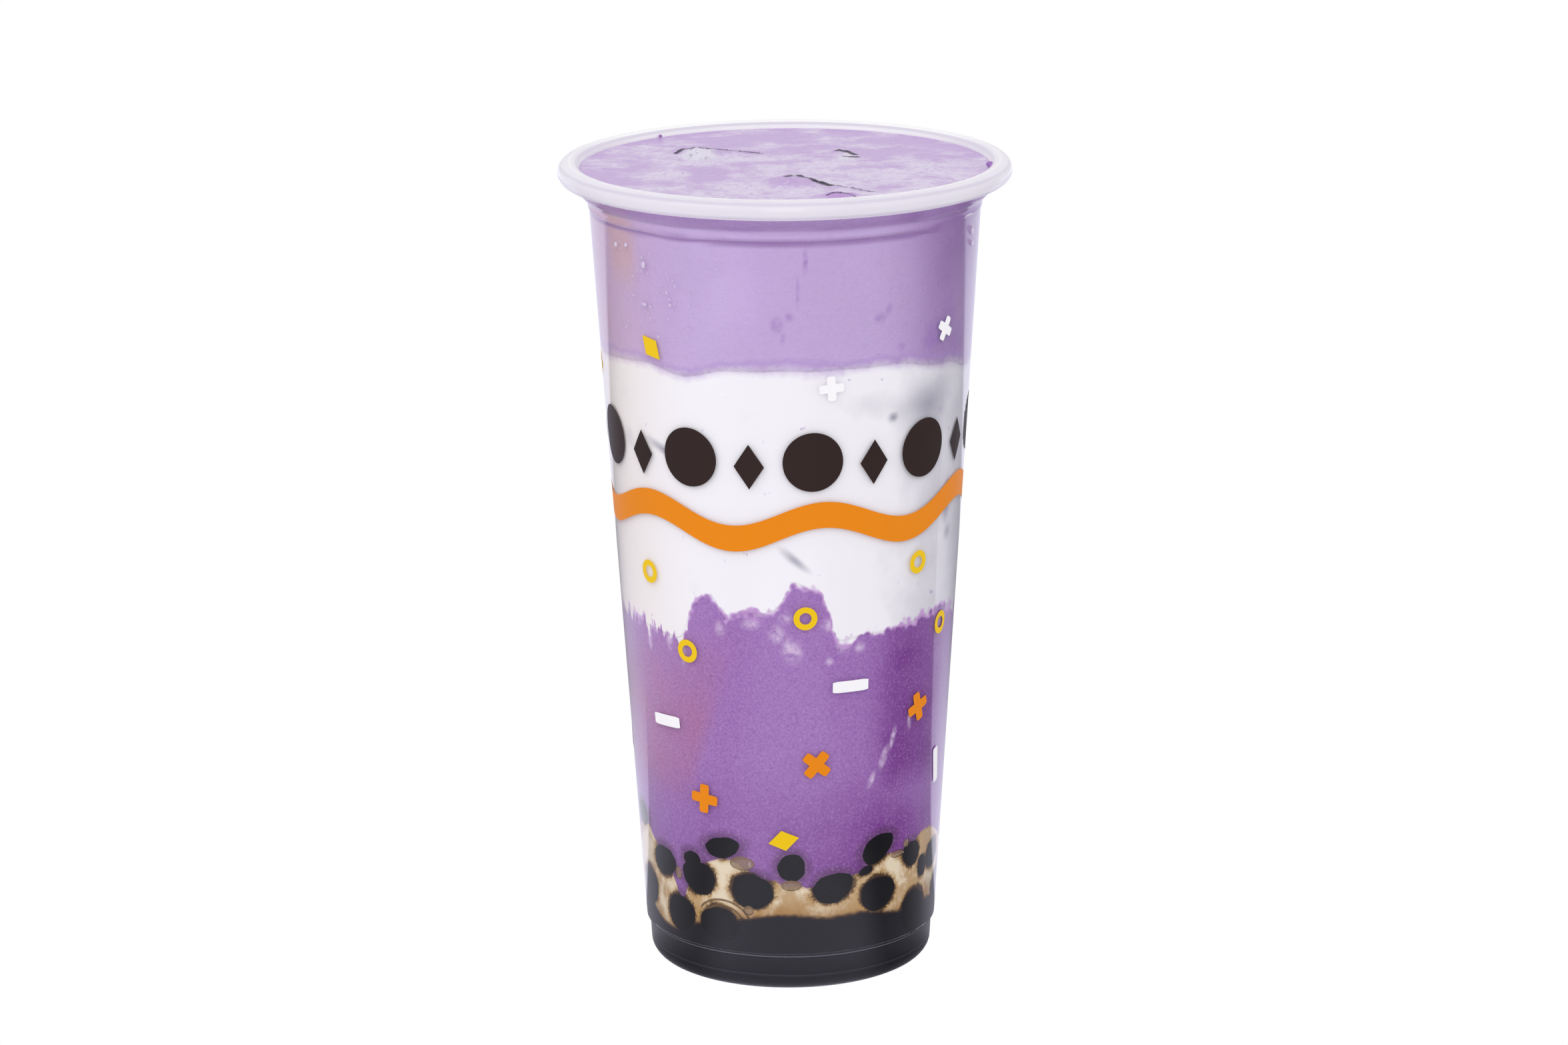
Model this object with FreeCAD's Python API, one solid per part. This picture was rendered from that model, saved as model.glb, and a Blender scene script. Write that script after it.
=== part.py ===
import FreeCAD, Part
import math
import os

V = FreeCAD.Vector

# A layered taro bubble tea in its clear plastic cup.
# Millimetres, +Z up, the cup's axis on Z, the origin at the bottom centre of the foot.

# ---- cup: driving sizes -------------------------------------------------------------
rim_d = 95.0            # over the rolled rim
cup_h = 173.5           # foot to top of the rim
wall_t = 0.8            # wall, floor and rim stock
bead_r = 2.1            # half the height of the rolled rim
bead_flat = 0.66        # flat land on top of the rim
curl_open = 20.0        # degrees the rim's curl runs past its lowest point
shoulder_d = 81.9       # wall diameter just under the stacking ring
waist_d = 62.3          # wall diameter just above the foot
foot_top_d = 60.9       # foot, under the ledge
foot_d = 60.4           # foot, above its bottom corner
foot_h = 7.6            # height of the foot
ledge_h = 0.7           # height of the slope from foot to wall
corner_r = 3.0          # bottom corner of the foot
recess_d = 46.0         # raised middle of the floor
recess_h = 1.9          # how far the floor is raised over the standing ring
recess_slope = 2.3      # width of the slope beside the raised floor
ring_drop = 9.5         # from rim top down to the stacking ring
ring_step = 0.25        # how far the stacking ring stands out

# ---- drink: driving sizes -----------------------------------------------------------
head_space = 1.7        # from the rim top down to the drink
milk_top = 136.0        # mean height of each layer boundary
taro_low_top = 82.0
cream_top = 27.0
syrup_top = 13.0
milk_wave = 1.3         # unevenness of each boundary, up and down
taro_wave = 2.6
taro_crown = 4.5        # the lower taro stands higher towards the front
cream_wave = 2.2
syrup_wave = 0.9
pearl_d = 8.6           # tapioca pearls lying in the syrup
pearls_outer = 15
pearls_inner = 8
pearl_lift = 3.0        # how much some pearls ride higher than others

# ---- ice: size a, size b, size c, peak x, peak y, height over the drink, turn, tip, roll
ice_round = 2.2
ice_clear = 0.5         # ice keeps this far from the wall
ice_list = [
    ("ice_1", 20.0, 20.0, 20.0, -18.6, 13.2, 1.7, 8.0, -11.0, 12.0),
    ("ice_2", 16.0, 9.5, 17.0, 1.9, -18.6, 1.7, -114.0, -13.0, 11.0),
    ("ice_3", 9.4, 9.4, 11.0, 10.9, -34.4, 1.2, 19.0, -8.0, 9.0),
    ("ice_4", 18.0, 18.0, 18.0, 12.8, 13.9, 0.4, 24.0, -10.0, 9.0),
]

# ---- derived ------------------------------------------------------------------------
rim_r = rim_d / 2
bead_c_out = rim_r - bead_r
bead_c_in = bead_c_out - bead_flat
neck_r = bead_c_in - bead_r                 # inside of the neck
bead_z = cup_h - bead_r
ring_z = cup_h - ring_drop
waist_z = foot_h + ledge_h
level_z = cup_h - head_space
stock_in = bead_r - wall_t                  # inner radius of the rolled rim
neck_low = bead_z - bead_r - 0.3            # the neck turns upright here


def wall_r(z):
    k = (z - waist_z) / (ring_z - waist_z)
    return waist_d / 2 + k * (shoulder_d - waist_d) / 2


def at(r, z):
    return V(r, 0, z)


def seg(a, b):
    return Part.makeLine(at(*a), at(*b))


def polar(c, r, deg):
    a = math.radians(deg)
    return (c[0] + r * math.cos(a), c[1] + r * math.sin(a))


def arc(c, r, d0, d1):
    ends = [at(*polar(c, r, d)) for d in (d0, (d0 + d1) / 2, d1)]
    return Part.Arc(*ends).toShape()


def neck_arcs(offset):
    """The two arcs of the neck, from the stacking ring up to the upright neck."""
    r0 = wall_r(ring_z) + ring_step
    r1 = neck_r + wall_t
    z0, z1 = ring_z + 0.2, neck_low
    dx, dz = r1 - r0, z1 - z0
    bend = (dx * dx + dz * dz) / (4 * dx)
    turn = math.degrees(2 * math.atan2(dx, dz))
    low, high = (r0 + bend, z0), (r1 - bend, z1)
    return [arc(low, bend + offset, 180, 180 - turn), arc(high, bend - offset, -turn, 0)]


def ends_of(edge):
    p, q = edge.firstVertex(True).Point, edge.lastVertex(True).Point
    return (p.x, p.z), (q.x, q.z)


def chain(parts):
    """Join edges and bare points, in order, into one list of touching edges."""
    edges, here = [], None
    for p in parts:
        first = p if isinstance(p, tuple) else ends_of(p)[0]
        if here is not None and math.dist(here, first) > 1e-6:
            edges.append(seg(here, first))
        if isinstance(p, tuple):
            here = p
        else:
            edges.append(p)
            here = ends_of(p)[1]
    return edges


def inside_profile():
    """From the middle of the floor, up the inside of the wall, to the rim's inner side."""
    rc = corner_r - wall_t * 0.6
    foot_in = foot_d / 2 - wall_t
    parts = [
        (0.0, recess_h + wall_t),
        (recess_d / 2, recess_h + wall_t),
        (recess_d / 2 + recess_slope, wall_t),
        arc((foot_in - rc, wall_t + rc), rc, -90, 0),
        (foot_top_d / 2 - wall_t, foot_h + wall_t * 0.5),
        (wall_r(waist_z) - wall_t, waist_z + wall_t * 0.5),
        (wall_r(ring_z) - wall_t, ring_z),
    ]
    return parts + neck_arcs(wall_t)


def cup():
    rc = corner_r
    lip = (bead_c_out, bead_z)
    land = (bead_c_in, bead_z)
    stop = -90 - curl_open
    up = chain(inside_profile() + [
        arc(land, bead_r, 180, 90),
        arc(lip, bead_r, 90, stop),
        arc(lip, stock_in, stop, 90),
        arc(land, stock_in, 90, 180),
        (neck_r + wall_t, neck_low),
    ])
    n = neck_arcs(0.0)
    down = chain([
        (0.0, recess_h + wall_t),
        (0.0, recess_h),
        (recess_d / 2 - wall_t * 0.5, recess_h),
        (recess_d / 2 + recess_slope - wall_t * 0.5, 0.0),
        arc((foot_d / 2 - rc, rc), rc, -90, 0),
        (foot_top_d / 2, foot_h),
        (wall_r(waist_z), waist_z),
        (wall_r(ring_z), ring_z),
        n[0], n[1],
    ])
    wire = Part.Wire(Part.__sortEdges__(up + down))
    return Part.Face(wire).revolve(V(0, 0, 0), V(0, 0, 1), 360)


def cavity():
    """The space the drink fills, from the floor up to its level."""
    lift = math.degrees(math.acos((level_z - bead_z) / bead_r))
    rim_side = arc((bead_c_in, bead_z), bead_r, 180, 90 + lift)
    edges = chain(inside_profile() + [rim_side, (0.0, level_z), (0.0, recess_h + wall_t)])
    wire = Part.Wire(Part.__sortEdges__(edges))
    return Part.Face(wire).revolve(V(0, 0, 0), V(0, 0, 1), 360)


def waves(x, y, seed, count, longest, shortest):
    """Smooth unevenness between about -1 and 1, from a few crossing waves."""
    total = 0.0
    for i in range(count):
        a = seed + 2.39996 * i
        length = longest + (shortest - longest) * i / max(1, count - 1)
        k = 2 * math.pi / length
        total += math.sin(k * (x * math.cos(a) + y * math.sin(a)) + 1.7 * seed + 2.1 * i)
    return total / math.sqrt(count)


def boundary(height, n=27):
    """One uneven boundary between two layers, a little wider than the cup."""
    half = rim_r * 1.04
    rows = []
    for i in range(n):
        x = -half + 2 * half * i / (n - 1)
        row = []
        for j in range(n):
            y = -half + 2 * half * j / (n - 1)
            row.append(V(x, y, height(x, y)))
        rows.append(row)
    s = Part.BSplineSurface()
    s.interpolate(rows)
    return s.toShape()


def milk_height(x, y):
    return milk_top + milk_wave * waves(x, y, 0.6, 4, 90, 34)


def taro_height(x, y):
    front = math.exp(-((x - 1.0) / 17.0) ** 2) * (1 - y / neck_r) / 2
    return taro_low_top + taro_crown * front + taro_wave * waves(x, y, 2.2, 6, 40, 17)


def cream_height(x, y):
    return cream_top + cream_wave * waves(x, y, 4.1, 5, 36, 19)


def syrup_height(x, y):
    return syrup_top + syrup_wave * waves(x, y, 5.3, 4, 48, 24)


def pearl_spots():
    """Where the tapioca pearls of two uneven rings rise out of the syrup."""
    out = []
    side = wall_r(syrup_top) - wall_t
    rings = [(side - pearl_d * 0.42, pearls_outer, 0.0), (side * 0.5, pearls_inner, 0.8)]
    for ring_r, count, phase in rings:
        for i in range(count):
            step = 2 * math.pi / count
            wob = math.sin(5.1 * i + 3 * phase)
            a = phase + step * (i + 0.16 * wob)
            r = ring_r - 0.5 - 0.5 * math.sin(2.7 * i + phase)
            d = pearl_d * (1 + 0.06 * math.sin(3.3 * i + 1.0))
            rise = d / 2 + pearl_lift * (0.2 + 0.4 * math.sin(4.4 * i + phase))
            out.append((r * math.cos(a), r * math.sin(a), d / 2, rise))
    return out


def heap_height(x, y):
    """The syrup's surface with the rounded tops of the pearls standing out of it."""
    z = syrup_height(x, y)
    for px, py, r, rise in pearl_spots():
        near = 1 - ((x - px) ** 2 + (y - py) ** 2) / (1.2 * r) ** 2
        if near > 0:
            z += rise * near * near * (3 - 2 * near)
    return z


def ice(a, b, c, px, py, over, turn, tip, roll):
    """A worn ice cube with one top corner standing out of the drink."""
    box = Part.makeBox(a, b, c, V(0, 0, -c))
    box = box.makeFillet(min(ice_round, 0.3 * min(a, b, c)), box.Edges)
    box.rotate(V(0, 0, 0), V(0, 1, 0), roll)
    box.rotate(V(0, 0, 0), V(1, 0, 0), tip)
    box.rotate(V(0, 0, 0), V(0, 0, 1), turn)
    b0 = box.optimalBoundingBox()
    near = Part.Vertex(V(0, 0, b0.ZMax + 50)).distToShape(box)[1][0][1]
    box.translate(V(px - near.x, py - near.y, level_z + over - b0.ZMax))
    over_wall = 0.0
    for v in box.Vertexes:
        side = min(wall_r(v.Z), neck_r + wall_t) - wall_t - ice_clear
        over_wall = max(over_wall, math.hypot(v.X, v.Y) - side)
    out = math.hypot(px, py)
    box.translate(V(-px / out * over_wall, -py / out * over_wall, 0))
    return box


def split(solid, faces):
    whole, _ = solid.generalFuse(faces)
    return sorted(whole.Solids, key=lambda s: s.CenterOfMass.z)


def main_solid(shape):
    return max(shape.Solids, key=lambda s: s.Volume)


def build():
    shapes = {"cup": cup()}
    marks = [boundary(f) for f in (cream_height, taro_height, milk_height)]
    marks.append(boundary(heap_height, 2 * math.ceil(rim_d / pearl_d) + 33))
    bed, cream, taro_low, milk, taro_up = split(cavity(), marks)
    layers = [
        ("pearl_bed", bed),
        ("cream_layer", cream),
        ("taro_lower", taro_low),
        ("milk_layer", milk),
        ("taro_upper", taro_up),
    ]
    cubes = {row[0]: ice(*row[1:]) for row in ice_list}
    lowest = min(c.optimalBoundingBox().ZMin for c in cubes.values())
    for node, shape in layers:
        if shape.optimalBoundingBox().ZMax > lowest:
            shape = shape.cut(list(cubes.values()))
        shapes[node] = main_solid(shape)
    shapes.update(cubes)
    return shapes


os.makedirs("parts", exist_ok=True)
for node, shape in build().items():
    if shape.ShapeType != "Solid" and len(shape.Solids) == 1:
        shape = shape.Solids[0]
    shape.exportStep("parts/%s.step" % node)
    print(node, shape.ShapeType, len(shape.Solids), shape.isValid(),
          round(shape.Volume / 1000, 2), "ml", shape.BoundBox)
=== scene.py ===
"""Taro bubble tea in its clear plastic cup: the looks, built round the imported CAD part."""
import bpy
import math
import numpy as np
from mathutils import Matrix, Vector, noise


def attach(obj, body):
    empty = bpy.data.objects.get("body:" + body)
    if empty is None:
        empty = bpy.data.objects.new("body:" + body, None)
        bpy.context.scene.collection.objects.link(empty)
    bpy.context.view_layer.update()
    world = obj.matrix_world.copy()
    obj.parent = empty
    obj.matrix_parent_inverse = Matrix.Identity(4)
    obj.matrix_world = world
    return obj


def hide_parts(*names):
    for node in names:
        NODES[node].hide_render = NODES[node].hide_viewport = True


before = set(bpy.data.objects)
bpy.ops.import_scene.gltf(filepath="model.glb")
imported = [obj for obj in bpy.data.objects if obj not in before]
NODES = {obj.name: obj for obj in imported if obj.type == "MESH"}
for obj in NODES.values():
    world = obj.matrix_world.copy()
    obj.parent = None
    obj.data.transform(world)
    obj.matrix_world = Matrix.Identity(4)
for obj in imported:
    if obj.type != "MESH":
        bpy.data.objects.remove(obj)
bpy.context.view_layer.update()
MM = 0.001
RNG = np.random.default_rng(7)

# ------------------------------------------------------------------ sizes, in millimetres
RIM_R, CUP_H, WALL = 47.5, 173.5, 0.8
BEAD_R, BEAD_FLAT, CURL = 2.1, 0.66, 20.0
SHOULDER_R, WAIST_R, FOOT_TOP_R, FOOT_R = 40.95, 31.15, 30.45, 30.2    # from the ring down
FOOT_H, LEDGE_H, CORNER = 7.6, 0.7, 3.0
RECESS_R, RECESS_H, RECESS_SLOPE = 23.0, 1.9, 2.3
RING_Z, RING_STEP = CUP_H - 9.5, 0.25
LEVEL = CUP_H - 1.7
WAIST_Z = FOOT_H + LEDGE_H
LIP = (RIM_R - BEAD_R, CUP_H - BEAD_R)
LAND = (LIP[0] - BEAD_FLAT, LIP[1])
NECK_R = LAND[0] - BEAD_R
NECK_LOW = LIP[1] - BEAD_R - 0.3
INTO_WALL = 0.06            # how far the drink's skin reaches into the plastic
SYRUP_JOIN = 8.8            # height where the syrup's side meets its foot
PRINT_OFF = 0.05            # the ink's distance from the wall
UPPER_R, MILK_R, LOWER_R, BED_R = 39.0, 37.0, 34.0, 31.0    # about the wall's radius there


def wall_r(z):
    """Outside radius of the tapered wall at a height."""
    return WAIST_R + (z - WAIST_Z) / (RING_Z - WAIST_Z) * (SHOULDER_R - WAIST_R)


def arc(c, r, d0, d1, n=10):
    a = np.radians(np.linspace(d0, d1, n + 1))
    return list(zip(c[0] + r * np.cos(a), c[1] + r * np.sin(a)))


def neck(offset):
    """The curve from the stacking ring out to the rim, this far inside the outer face."""
    r0, r1 = SHOULDER_R + RING_STEP, NECK_R + WALL
    z0, z1 = RING_Z + 0.2, NECK_LOW
    dx, dz = r1 - r0, z1 - z0
    bend = (dx * dx + dz * dz) / (4 * dx)
    turn = math.degrees(2 * math.atan2(dx, dz))
    return (arc((r0 + bend, z0), bend + offset, 180, 180 - turn, 8)
            + arc((r1 - bend, z1), bend - offset, -turn, 0, 8))


def inner_profile():
    rc, foot = CORNER - WALL * 0.6, FOOT_R - WALL
    return ([(0.0, RECESS_H + WALL), (RECESS_R, RECESS_H + WALL), (RECESS_R + RECESS_SLOPE, WALL)]
            + arc((foot - rc, WALL + rc), rc, -90, 0, 6)
            + [(FOOT_TOP_R - WALL, FOOT_H + WALL / 2), (wall_r(WAIST_Z) - WALL, WAIST_Z + WALL / 2),
               (wall_r(RING_Z) - WALL, RING_Z)] + neck(WALL))


def cup_profile():
    stop = -90 - CURL
    foot = arc((FOOT_R - CORNER, CORNER), CORNER, 0, -90, 8)
    down = [(NECK_R + WALL, NECK_LOW)] + neck(0.0)[::-1][1:]
    under = [(SHOULDER_R, RING_Z), (WAIST_R, WAIST_Z), (FOOT_TOP_R, FOOT_H)] + foot
    under += [(RECESS_R + RECESS_SLOPE - WALL / 2, 0.0), (RECESS_R - WALL / 2, RECESS_H), (0.0, RECESS_H)]
    return (inner_profile() + arc(LAND, BEAD_R, 180, 90, 8) + arc(LIP, BEAD_R, 90, stop, 20)
            + arc(LIP, BEAD_R - WALL, stop, 90, 16) + arc(LAND, BEAD_R - WALL, 90, 180, 8)
            + down + under)


_IN = np.array(inner_profile()[2:] + arc(LAND, BEAD_R, 180, 100, 8))
_UP = np.maximum.accumulate(_IN[:, 1] + np.arange(len(_IN)) * 1e-6)


def rin(z):
    """Inside radius of the cup at a height, over the standing ring."""
    return np.interp(z, _UP, _IN[:, 0])


# ------------------------------------------------------------------------- small helpers
def smooth(lo, hi, x):
    """0 up to the first value, 1 from the second on, with a soft change between."""
    t = np.clip((np.asarray(x, float) - lo) / (hi - lo), 0, 1)
    return t * t * (3 - 2 * t)


def near(deg, at):
    """Degrees from a direction, -180 to 180."""
    return (np.asarray(deg, float) - at + 180) % 360 - 180


def place(deg, r, z):
    """A point at an angle from the front, positive to the right, in metres."""
    a = np.radians(deg)
    return np.stack([r * np.sin(a), -r * np.cos(a), np.broadcast_to(z, np.shape(a))], -1) * MM


def ellipse(deg, z, r, at, high, a, b, turn=0.0):
    """0 in the middle of a turned ellipse on a wall of radius r, and 1 at its edge."""
    u, v, t = np.radians(near(deg, at)) * r, z - high, math.radians(turn)
    p, q = u * math.cos(t) + v * math.sin(t), -u * math.sin(t) + v * math.cos(t)
    return np.hypot(p / a, q / b)


def piece(name, verts, faces, mat, replaces=(), attrs=None):
    """A smooth mesh in the frame; attrs are values at its points that its material reads."""
    mesh = bpy.data.meshes.new(name)
    mesh.from_pydata(np.asarray(verts).reshape(-1, 3).tolist(), [], faces)
    mesh.update()
    for key, values in (attrs or {}).items():
        a = mesh.attributes.new(key, "FLOAT", "POINT")
        a.data.foreach_set("value", np.asarray(values, dtype=np.float32).ravel())
    mesh.polygons.foreach_set("use_smooth", [True] * len(mesh.polygons))
    ob = bpy.data.objects.new(name, mesh)
    bpy.context.scene.collection.objects.link(ob)
    mesh.materials.append(mat)
    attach(ob, "root")
    if replaces:
        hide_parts(*replaces)
    return ob


def grid_faces(rows, cols, start=0):
    """Faces of a grid of points that closes on itself along each row."""
    out = []
    for i in range(rows - 1):
        for j in range(cols):
            k = (j + 1) % cols
            a, b = start + i * cols, start + (i + 1) * cols
            out.append((a + j, a + k, b + k, b + j))
    return out


# ----------------------------------------------------------------------------- shader kit
def plain(c):
    """Linear colour from the 0 to 255 values as seen."""
    v = [x / 255 for x in c]
    return tuple(x / 12.92 if x <= 0.04045 else ((x + 0.055) / 1.055) ** 2.4 for x in v) + (1.0,)


class Val:
    """A shader socket that can be reckoned with."""

    def __init__(self, tree, socket):
        self.tree, self.socket = tree, socket

    def op(self, kind, *args):
        return add(self.tree, "ShaderNodeMath", {"operation": kind}, dict(enumerate(args)))

    def __add__(self, o):
        return self.op("ADD", self, o)

    def __mul__(self, o):
        return self.op("MULTIPLY", self, o)

    def __sub__(self, o):
        return self.op("SUBTRACT", self, o)

    def __rsub__(self, o):
        return self.op("SUBTRACT", o, self)

    def __neg__(self):
        return self.op("MULTIPLY", self, -1.0)

    def __abs__(self):
        return self.op("ABSOLUTE", self)

    __radd__ = __add__

    def max(self, o):
        return self.op("MAXIMUM", self, o)

    def step(self, lo, hi):
        return add(self.tree, "ShaderNodeMapRange", {"interpolation_type": "SMOOTHSTEP"},
                   {0: self, 1: lo, 2: hi, 3: 0.0, 4: 1.0})

    def clip(self):
        return add(self.tree, "ShaderNodeClamp", {}, {0: self})


def stripe(value, at, inner, outer):
    """1 on the line where the value is at, gone from the outer distance on."""
    return 1.0 - abs(value - at).step(inner, outer)


def add(tree, kind, settings=None, inputs=None, out=0):
    """One shader node with its settings and its inputs, as the value of one output."""
    n = tree.nodes.new(kind)
    for key, value in (settings or {}).items():
        setattr(n, key, value)
    for key, value in (inputs or {}).items():
        if isinstance(value, Val):
            tree.links.new(value.socket, n.inputs[key])
        else:
            n.inputs[key].default_value = value
    return Val(tree, n.outputs[out]) if n.outputs else None


def mix(tree, f, a, b):
    """Colour a where f is 0 and colour b where it is 1."""
    return add(tree, "ShaderNodeMix", {"data_type": "RGBA"}, {0: f, 6: a, 7: b}, out=2)


def material(name):
    m = bpy.data.materials.new(name)
    m.use_nodes = True
    m.node_tree.nodes.clear()
    return m, m.node_tree


def finish_material(tree, shader):
    add(tree, "ShaderNodeOutputMaterial", {}, {0: shader})


def attr(tree, name):
    return add(tree, "ShaderNodeAttribute", {"attribute_name": name}, out=2)


def place_xyz(tree):
    """The three coordinates of a point on the object, in metres."""
    first = add(tree, "ShaderNodeSeparateXYZ", {}, {0: add(tree, "ShaderNodeTexCoord", out=3)})
    return [Val(tree, o) for o in first.socket.node.outputs]


def rays(tree, *kinds):
    """1 for each of these kinds of ray."""
    outputs = add(tree, "ShaderNodeLightPath").socket.node.outputs
    return [Val(tree, outputs["Is %s Ray" % kind]) for kind in kinds]


def cloud(tree, size, detail=3.0, rough=0.5, stretch=(1, 1, 1), shift=0.0):
    """Noise between 0 and 1 with features of about this size in millimetres."""
    where = add(tree, "ShaderNodeTexCoord", out=3)
    moved = add(tree, "ShaderNodeMapping", {}, {0: where, 1: (shift, shift * 0.7, -shift), 3: stretch})
    return add(tree, "ShaderNodeTexNoise", {},
               {0: moved, "Scale": 1000.0 / size, "Detail": detail, "Roughness": rough})


def cells(tree, size, shift=0.0):
    """Rounded cells of about this size in millimetres: 0 in the middle of a cell."""
    where = add(tree, "ShaderNodeTexCoord", out=3)
    moved = add(tree, "ShaderNodeMapping", {}, {0: where, 1: (shift, shift * 0.7, -shift)})
    return add(tree, "ShaderNodeTexVoronoi", {"feature": "SMOOTH_F1"},
               {0: moved, "Scale": 1000.0 / size, "Smoothness": 0.15})


def principled(tree, colour, rough=0.5, **extra):
    inputs = {"Base Color": colour, "Roughness": rough}
    inputs.update({k.replace("_", " "): v for k, v in extra.items()})
    return add(tree, "ShaderNodeBsdfPrincipled", {}, inputs)


# --------------------------------------------------------------- where the layers change
def bumps(deg, rows, power=2.0):
    """Sum of rounded humps; each row is an angle, a height and a half width."""
    out = np.zeros(np.shape(deg))
    for at, high, wide in rows:
        out += high * np.exp(-(np.abs(near(deg, at)) / wide) ** power)
    return out


def hidden_side(deg):
    """0 in front, 1 at the back."""
    return smooth(70, 110, np.abs(near(deg, 0)))


def ripple(deg, seed, terms, low, high):
    """A sum of waves round the cup, between the low and the high number of waves."""
    a = np.radians(np.asarray(deg, float))
    out = np.zeros(np.shape(a))
    for i in range(terms):
        k = low + round((high - low) * i / max(1, terms - 1))
        out += np.sin(k * a + seed * (i + 1.3)) / math.sqrt(terms)
    return out


def milk_line(deg):
    """Where the milk ends and the upper taro begins."""
    front = bumps(deg, [(-78, -2.2, 24), (-30, -1.8, 11), (80, -5.0, 30), (35, 0.5, 12)])
    back = hidden_side(deg) * ripple(deg, 1.0, 4, 3, 8)
    return 136.9 + front + 0.35 * ripple(deg, 2.0, 4, 5, 17) + back


def taro_line(deg):
    """Where the lower taro ends and the milk begins."""
    front = bumps(deg, [(-13, 5.2, 18)], 5) + bumps(deg, [(60, 3.4, 22), (-62, 1.2, 14), (27, 1.5, 12)])
    front += bumps(deg, [(-30.5, 7.4, 7.0), (6.2, 11.6, 8.4)], 4)
    front += bumps(deg, [(-13.0, 2.4, 7.0), (-4.8, 2.0, 3.0)], 3)
    back = 4.0 + 3.0 * ripple(deg, 1.9, 4, 5, 16) + 1.6 * ripple(deg, 3.1, 3, 19, 31)
    return 77.2 + front * (1 - hidden_side(deg)) + hidden_side(deg) * back


def cream_line(deg):
    """Where the cream ends and the lower taro begins."""
    front = bumps(deg, [(-73, 7.0, 12), (-47, -7.5, 5.0), (-26, 4.0, 11), (2, -1.5, 9), (15, -2.5, 7),
                        (37, 3.0, 8), (64, 5.5, 16)])
    back = 1.5 + 2.5 * ripple(deg, 2.7, 4, 4, 13)
    return 25.6 + front * (1 - hidden_side(deg)) + hidden_side(deg) * back


def syrup_line(deg):
    """Where the syrup ends and the cream begins."""
    front = bumps(deg, [(-2, 2.8, 22), (-55, -4.0, 14), (-29, 1.0, 6), (30, 1.8, 12), (-80, 1.0, 12)])
    back = 1.4 * ripple(deg, 1.3, 4, 4, 12)
    return 14.3 + front * (1 - hidden_side(deg)) + hidden_side(deg) * back


# ------------------------------------------------ pearls: angle, height, half width, half
# height, turn. Those in front are set one by one, the rest are scattered on the far side.
PEARLS = [
    (-26.6, 32.0, 3.9, 2.4, 8), (-57, 25.6, 3.8, 3.6, 0), (-40.5, 28.0, 2.2, 1.9, 0),
    (-37.8, 24.3, 4.1, 4.1, 15), (-15, 22.9, 4.6, 4.1, 0), (0.4, 28.4, 3.0, 3.1, 0),
    (16.5, 23.4, 4.5, 3.4, 12), (35.2, 30.8, 4.1, 3.0, 32), (30, 26.2, 1.6, 1.0, 20),
    (53.5, 27.2, 2.8, 3.0, 10), (61.5, 23.2, 1.8, 2.4, 0), (71, 24.4, 3.5, 3.1, 15),
    (36, 20.6, 4.4, 4.0, -15), (-48.3, 15.0, 4.1, 4.4, 10), (-29.2, 14.6, 4.4, 4.2, 0),
    (-71.5, 18.0, 4.0, 4.3, 0), (57, 14.0, 4.6, 5.2, 0), (-75, 33.5, 3.4, 2.6, 0),
    (80, 15.5, 4.2, 4.0, 0),
]
for row in range(3):
    for i in range(8):
        PEARLS.append((98 + 22.0 * i + 4.0 * RNG.standard_normal() + 7.5 * row,
                       15.5 + 6.6 * row + 1.3 * RNG.standard_normal(),
                       3.9 + 0.5 * RNG.standard_normal(), 3.7 + 0.4 * RNG.standard_normal(),
                       25 * RNG.standard_normal()))


def pearl_edge(deg, z):
    """Millimetres outside the nearest pearl's outline, as seen on the wall."""
    best = np.full(np.shape(deg), 9.0)
    for at, high, a, b, turn in PEARLS:
        best = np.minimum(best, (ellipse(deg, z, BED_R, at, high, a, b, turn) - 1) * min(a, b))
    return best


# --------------------------------------------------------------------- the drink's colours
LILAC, LILAC_WARM, LILAC_DEEP = (201, 174, 226), (203, 166, 197), (140, 100, 166)
MILK, MILK_WARM, MILK_SHADE = (246, 243, 250), (240, 231, 227), (136, 134, 154)
TARO, TARO_PINK, TARO_DEEP = (160, 115, 185), (168, 110, 160), (118, 52, 140)
TARO_PALE, TARO_GRAIN = (194, 160, 212), (104, 62, 138)
CREAM, CREAM_WARM, CREAM_PALE = (192, 160, 118), (166, 124, 68), (232, 216, 190)
SYRUP, BROWN, AMBER = (15, 14, 23), (64, 42, 30), (122, 92, 52)


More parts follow.
